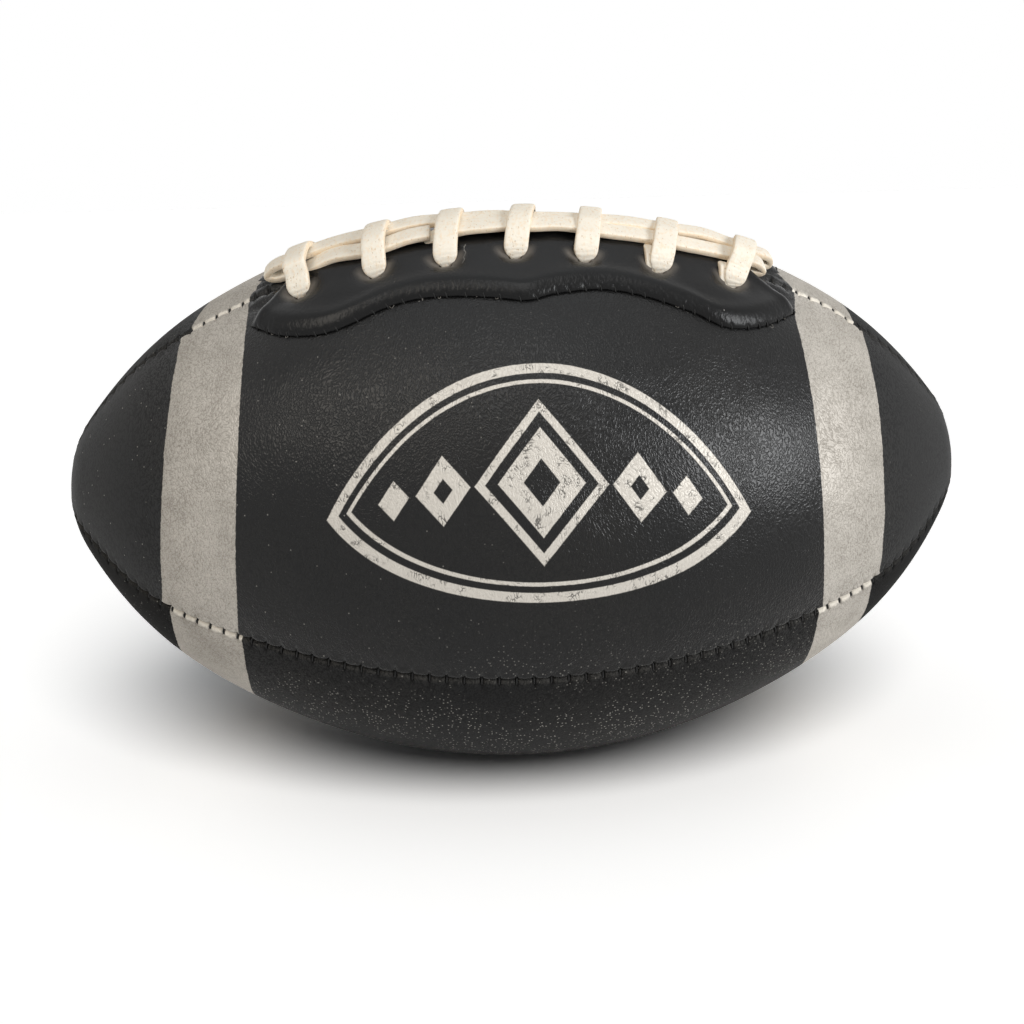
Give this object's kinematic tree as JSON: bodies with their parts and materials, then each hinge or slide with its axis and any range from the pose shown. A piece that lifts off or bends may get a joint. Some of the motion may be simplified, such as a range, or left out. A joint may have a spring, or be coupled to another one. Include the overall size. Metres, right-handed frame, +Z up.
{
  "type": "american football",
  "caption": "Pointed oval leather ball sewn from curved panels, laced along the top with a flat cream lace over raised facings, with a lined cover, a bladder and a needle valve inside.",
  "frame": {"origin": "on the ground, under the middle of the ball", "axes": "+X along the ball's long axis, -Y towards the side that the picture shows, +Z up; the lacing is on top, rolled towards -Y as the ball lies"},
  "size_m": [0.28, 0.176, 0.1773],
  "materials": {
    "panel_leather": "black grained leather, semi-gloss",
    "facing_leather": "soft black leather, semi-gloss",
    "lace_leather": "cream leather lace, matt",
    "lining_canvas": "unbleached canvas",
    "sewing_thread": "black waxed thread",
    "bladder_rubber": "black butyl rubber",
    "valve_rubber": "moulded black rubber"
  },
  "bodies": {
    "root": {"panel_front": "panel_leather", "panel_top": "panel_leather", "panel_bottom": "panel_leather", "panel_rear": "panel_leather", "lining_front": "lining_canvas", "lining_top": "lining_canvas", "lining_bottom": "lining_canvas", "lining_rear": "lining_canvas", "lace_facing_front": "facing_leather", "lace_facing_top": "facing_leather", "lace_tongue": "facing_leather", "lace": "lace_leather", "facing_thread_front": "sewing_thread", "facing_thread_top": "sewing_thread", "seam_thread_lace_left": "sewing_thread", "seam_thread_lace_right": "sewing_thread", "seam_thread_front_bottom": "sewing_thread", "seam_thread_bottom_rear": "sewing_thread", "seam_thread_rear_top": "sewing_thread", "bladder": "bladder_rubber", "valve_housing": "valve_rubber", "valve_plug": "valve_rubber"}
  },
  "joints": []
}
